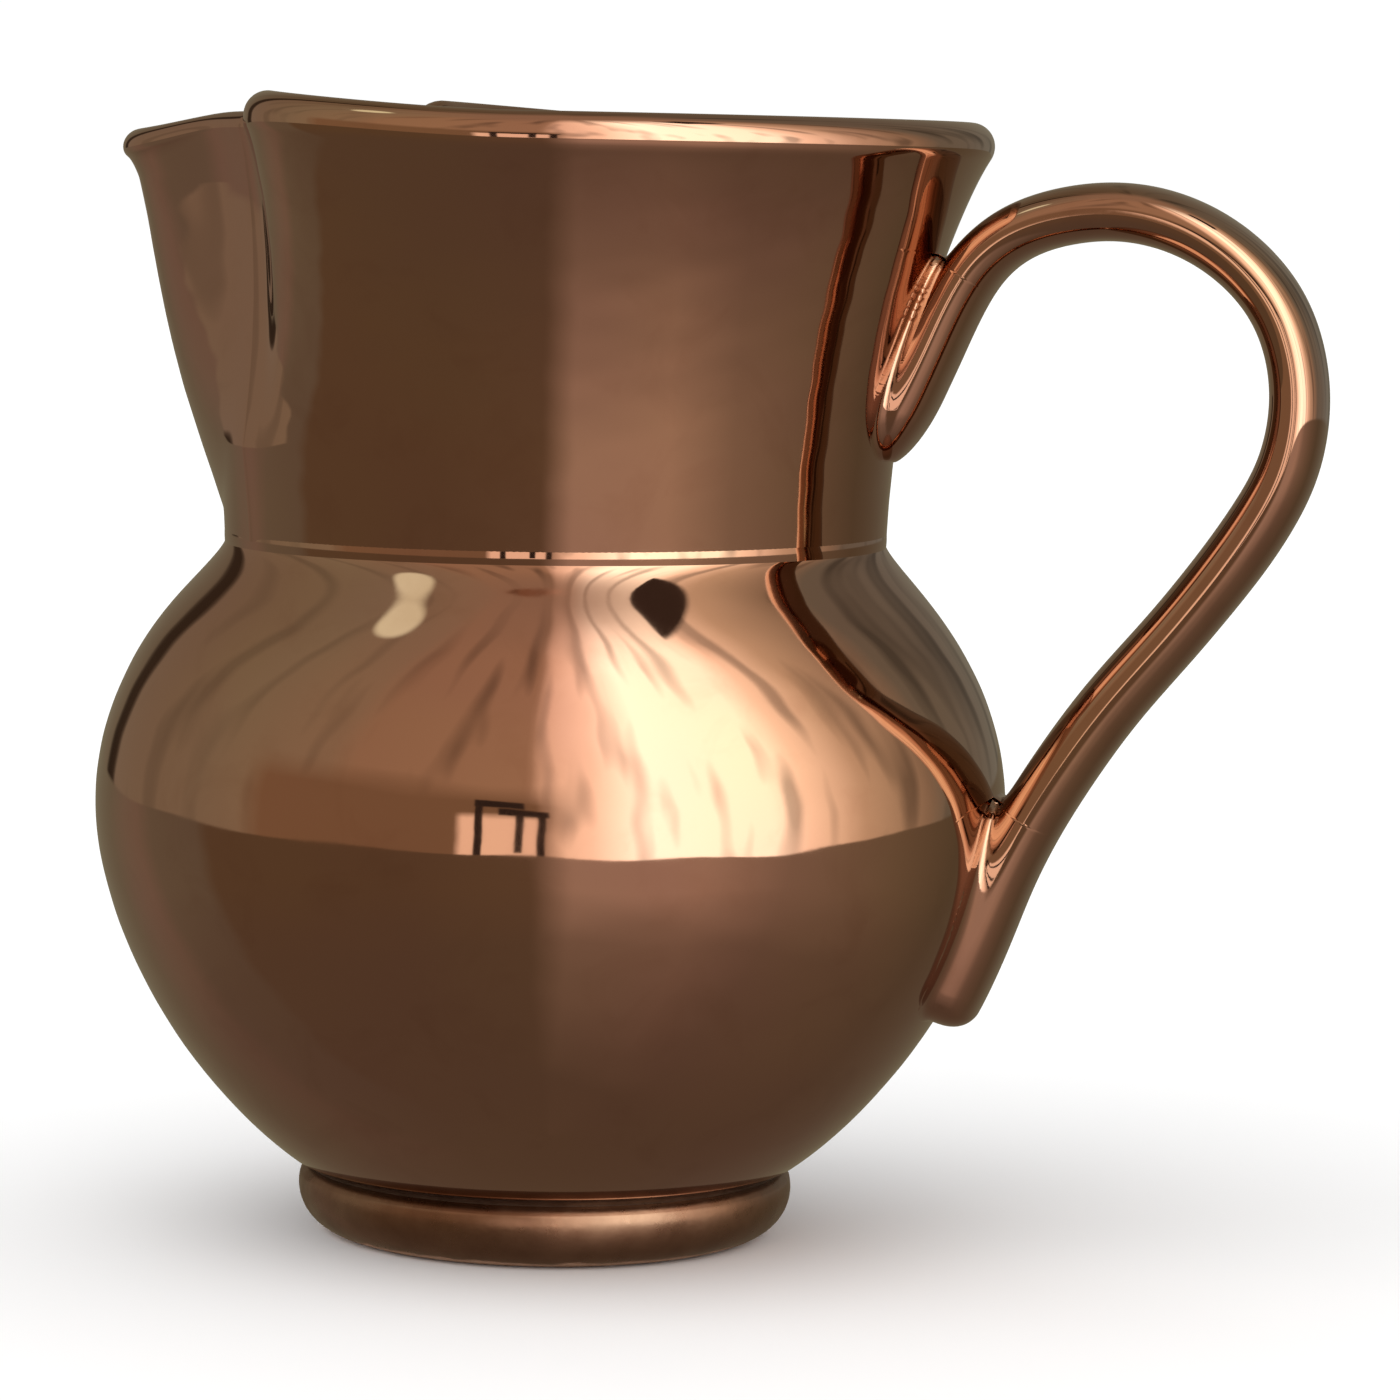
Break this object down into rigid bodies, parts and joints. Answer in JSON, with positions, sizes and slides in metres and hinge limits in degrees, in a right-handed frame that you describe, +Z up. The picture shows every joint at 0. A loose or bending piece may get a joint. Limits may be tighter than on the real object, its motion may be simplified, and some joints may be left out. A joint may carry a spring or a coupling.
{
  "type": "milk jug",
  "caption": "Lustre-glazed earthenware milk jug with a round bowl on a foot ring, a flared collar with a rolled rim, a pulled pouring spout and a loop handle.",
  "frame": {"origin": "on the plane the jug stands on, under the middle of its bounding box; the jug's own turning axis is 18.2 mm towards -X from it", "axes": "+Z up; +X towards the handle, so the spout points along -X; +Y completes the right-handed frame, and the jug mirrors across y = 0"},
  "size_m": [0.1422, 0.1054, 0.1316],
  "materials": {
    "lustre_glaze": "copper lustre over a glossy glaze, mirror-like",
    "satin_lustre": "thin copper lustre, satin, worn at the standing edge",
    "slip": "smoothed slip under the same copper lustre"
  },
  "bodies": {
    "root": {"bowl": "lustre_glaze", "collar": "lustre_glaze", "spout": "lustre_glaze", "handle": "lustre_glaze", "foot_ring": "satin_lustre", "foot_slip_joint": "slip", "waist_slip_joint": "slip", "spout_slip_joint": "slip", "handle_upper_slip_joint": "slip", "handle_lower_slip_joint": "slip"}
  },
  "joints": []
}
